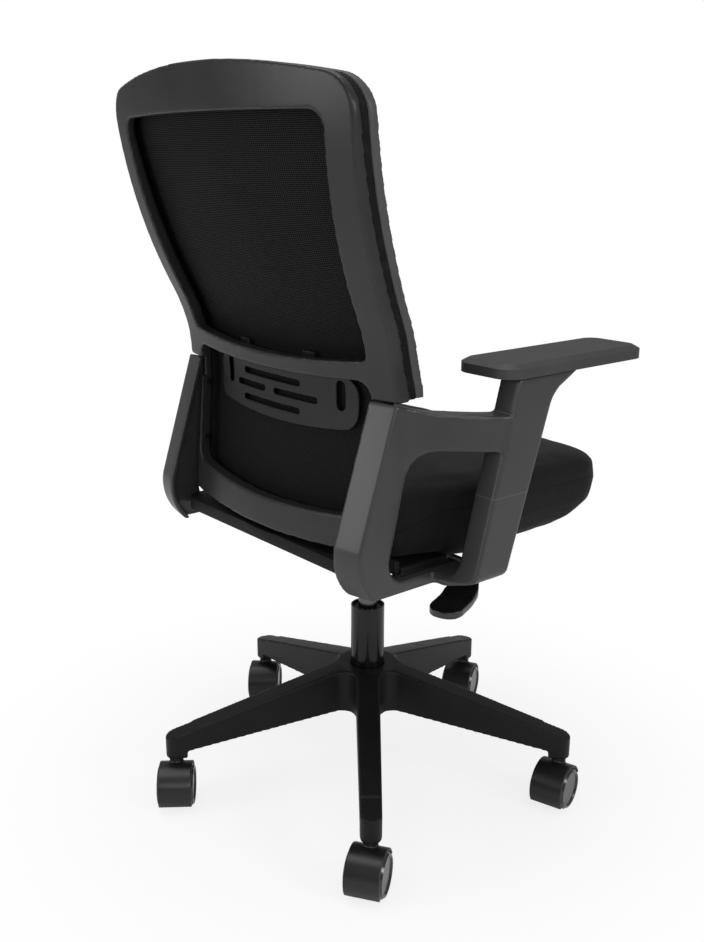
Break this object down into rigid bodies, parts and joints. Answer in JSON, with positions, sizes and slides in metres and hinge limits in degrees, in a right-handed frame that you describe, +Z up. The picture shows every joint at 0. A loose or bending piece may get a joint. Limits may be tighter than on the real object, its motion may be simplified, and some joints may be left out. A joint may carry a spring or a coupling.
{
  "type": "office chair",
  "caption": "Swivel office chair: mesh back on an open frame, loop arms with flat pads, padded seat, gas lift with paddle lever, tilt, and a star base on casters.",
  "frame": {"origin": "on the floor, under the axis of the gas lift", "axes": "+Z up along the gas lift, -Y the way the sitter faces, +X the sitter's left"},
  "size_m": [0.6255, 0.6361, 1.02],
  "materials": {
    "base_nylon": "satin",
    "caster_nylon": "satin",
    "wheel_plastic": "gloss rim",
    "steel": "turned",
    "tube_paint": "gloss black",
    "bush_plastic": "satin",
    "cylinder_chrome": "polished",
    "mechanism_paint": "powder coat",
    "lever_plastic": "gloss",
    "board_plastic": "matte",
    "seat_fabric": "woven",
    "frame_plastic": "fine grain",
    "pad_plastic": "soft touch",
    "mesh_frame_plastic": "satin",
    "mesh_fabric": "ribbed mesh",
    "lumbar_plastic": "satin"
  },
  "bodies": {
    "base": {"star_base": "base_nylon", "lift_outer_tube": "tube_paint", "lift_guide_bush": "bush_plastic", "lift_thrust_bearing": "steel"},
    "swivel_core": {"lift_piston_rod": "steel", "lift_retaining_clip": "steel"},
    "lift": {"lift_cylinder": "cylinder_chrome", "mechanism_housing": "mechanism_paint", "tilt_pivot_pin": "steel", "tension_spring": "steel"},
    "release": {"lift_release_pin": "steel"},
    "tension": {"tension_knob": "lever_plastic", "tension_screw": "steel"},
    "lever_carrier": {"lever_fulcrum": "bush_plastic", "lever_pivot_pin": "steel"},
    "lever": {"lever_rod": "steel", "lever_paddle": "lever_plastic"},
    "upper": {"seat_plate": "mechanism_paint", "seat_plate_bolts": "steel", "seat_board": "board_plastic", "seat_cushion": "seat_fabric", "arm_frame_left": "frame_plastic", "arm_frame_right": "frame_plastic", "arm_pad_left": "pad_plastic", "arm_pad_right": "pad_plastic", "arm_bolts": "steel", "back_frame": "frame_plastic", "back_bolts": "steel", "mesh_frame": "mesh_frame_plastic", "back_mesh": "mesh_fabric", "mesh_rim": "mesh_frame_plastic", "lumbar_guides": "mesh_frame_plastic"},
    "lumbar": {"lumbar_support": "lumbar_plastic"},
    "caster_1": {"caster_hood_1": "caster_nylon", "caster_stem_1": "steel", "caster_axle_1": "steel"},
    "wheel_left_1": {"caster_wheel_left_1": "wheel_plastic"},
    "wheel_right_1": {"caster_wheel_right_1": "wheel_plastic"},
    "caster_2": {"caster_hood_2": "caster_nylon", "caster_stem_2": "steel", "caster_axle_2": "steel"},
    "wheel_left_2": {"caster_wheel_left_2": "wheel_plastic"},
    "wheel_right_2": {"caster_wheel_right_2": "wheel_plastic"},
    "caster_3": {"caster_hood_3": "caster_nylon", "caster_stem_3": "steel", "caster_axle_3": "steel"},
    "wheel_left_3": {"caster_wheel_left_3": "wheel_plastic"},
    "wheel_right_3": {"caster_wheel_right_3": "wheel_plastic"},
    "caster_4": {"caster_hood_4": "caster_nylon", "caster_stem_4": "steel", "caster_axle_4": "steel"},
    "wheel_left_4": {"caster_wheel_left_4": "wheel_plastic"},
    "wheel_right_4": {"caster_wheel_right_4": "wheel_plastic"},
    "caster_5": {"caster_hood_5": "caster_nylon", "caster_stem_5": "steel", "caster_axle_5": "steel"},
    "wheel_left_5": {"caster_wheel_left_5": "wheel_plastic"},
    "wheel_right_5": {"caster_wheel_right_5": "wheel_plastic"}
  },
  "joints": [
    {"name": "seat_swivel", "type": "hinge", "parent": "base", "child": "swivel_core", "pos_m": [0, 0, 0.2], "axis": [0, 0, 1], "continuous": true},
    {"name": "seat_lift", "type": "slide", "parent": "swivel_core", "child": "lift", "axis": [0, 0, 1], "range_m": [-0.085, 0.015]},
    {"name": "seat_tilt", "type": "hinge", "parent": "lift", "child": "upper", "pos_m": [0, -0.1, 0.4], "axis": [-1, 0, 0], "range_deg": [0, 10], "stiffness_Nm_per_rad": 150, "springref_deg": -17.19, "deforming": ["tension_spring"]},
    {"name": "tension_turn", "type": "hinge", "parent": "lift", "child": "tension", "pos_m": [0, -0.057, 0.35], "axis": [0, 0, 1], "range_deg": [-720, 720]},
    {"name": "lever_pull", "type": "slide", "parent": "lift", "child": "lever_carrier", "axis": [-0.9806, -0.1959, 0], "range_m": [0, 0.01]},
    {"name": "lever_lift", "type": "hinge", "parent": "lever_carrier", "child": "lever", "pos_m": [-0.07158, -0.0143, 0.39095], "axis": [-0.1959, 0.9806, 0], "range_deg": [0, 4], "stiffness_Nm_per_rad": 2, "springref_deg": -8.59},
    {"name": "release_press", "type": "slide", "parent": "lift", "child": "release", "axis": [0, 0, -1], "range_m": [0, 0.0052]},
    {"name": "lumbar_slide", "type": "slide", "parent": "upper", "child": "lumbar", "axis": [0, 0.1392, 0.9903], "range_m": [-0.016, 0.003]},
    {"name": "caster_swivel_1", "type": "hinge", "parent": "base", "child": "caster_1", "pos_m": [-0.22763, 0.18764, 0.072], "axis": [0, 0, 1], "continuous": true},
    {"name": "wheel_left_1", "type": "hinge", "parent": "caster_1", "child": "wheel_left_1", "pos_m": [-0.23417, 0.19771, 0.03], "axis": [-0.8387, -0.5446, 0], "continuous": true},
    {"name": "wheel_right_1", "type": "hinge", "parent": "caster_1", "child": "wheel_right_1", "pos_m": [-0.23417, 0.19771, 0.03], "axis": [-0.8387, -0.5446, 0], "continuous": true},
    {"name": "caster_swivel_2", "type": "hinge", "parent": "base", "child": "caster_2", "pos_m": [-0.2488, -0.1585, 0.072], "axis": [0, 0, 1], "continuous": true},
    {"name": "wheel_left_2", "type": "hinge", "parent": "caster_2", "child": "wheel_left_2", "pos_m": [-0.25211, -0.14697, 0.03], "axis": [-0.9613, -0.2756, 0], "continuous": true},
    {"name": "wheel_right_2", "type": "hinge", "parent": "caster_2", "child": "wheel_right_2", "pos_m": [-0.25211, -0.14697, 0.03], "axis": [-0.9613, -0.2756, 0], "continuous": true},
    {"name": "caster_swivel_3", "type": "hinge", "parent": "base", "child": "caster_3", "pos_m": [0.07386, -0.2856, 0.072], "axis": [0, 0, 1], "continuous": true},
    {"name": "wheel_left_3", "type": "hinge", "parent": "caster_3", "child": "wheel_left_3", "pos_m": [0.06823, -0.27501, 0.03], "axis": [-0.8829, -0.4695, 0], "continuous": true},
    {"name": "wheel_right_3", "type": "hinge", "parent": "caster_3", "child": "wheel_right_3", "pos_m": [0.06823, -0.27501, 0.03], "axis": [-0.8829, -0.4695, 0], "continuous": true},
    {"name": "caster_swivel_4", "type": "hinge", "parent": "base", "child": "caster_4", "pos_m": [0.29445, -0.01801, 0.072], "axis": [0, 0, 1], "continuous": true},
    {"name": "wheel_left_4", "type": "hinge", "parent": "caster_4", "child": "wheel_left_4", "pos_m": [0.28582, -0.00967, 0.03], "axis": [-0.6947, -0.7193, 0], "continuous": true},
    {"name": "wheel_right_4", "type": "hinge", "parent": "caster_4", "child": "wheel_right_4", "pos_m": [0.28582, -0.00967, 0.03], "axis": [-0.6947, -0.7193, 0], "continuous": true},
    {"name": "caster_swivel_5", "type": "hinge", "parent": "base", "child": "caster_5", "pos_m": [0.10812, 0.27447, 0.072], "axis": [0, 0, 1], "continuous": true},
    {"name": "wheel_left_5", "type": "hinge", "parent": "caster_5", "child": "wheel_left_5", "pos_m": [0.09853, 0.28169, 0.03], "axis": [-0.6018, -0.7986, 0], "continuous": true},
    {"name": "wheel_right_5", "type": "hinge", "parent": "caster_5", "child": "wheel_right_5", "pos_m": [0.09853, 0.28169, 0.03], "axis": [-0.6018, -0.7986, 0], "continuous": true}
  ],
  "couplings": [
    {"joint": "release_press", "follows": "lever_lift", "m_per_rad": 0.072}
  ]
}
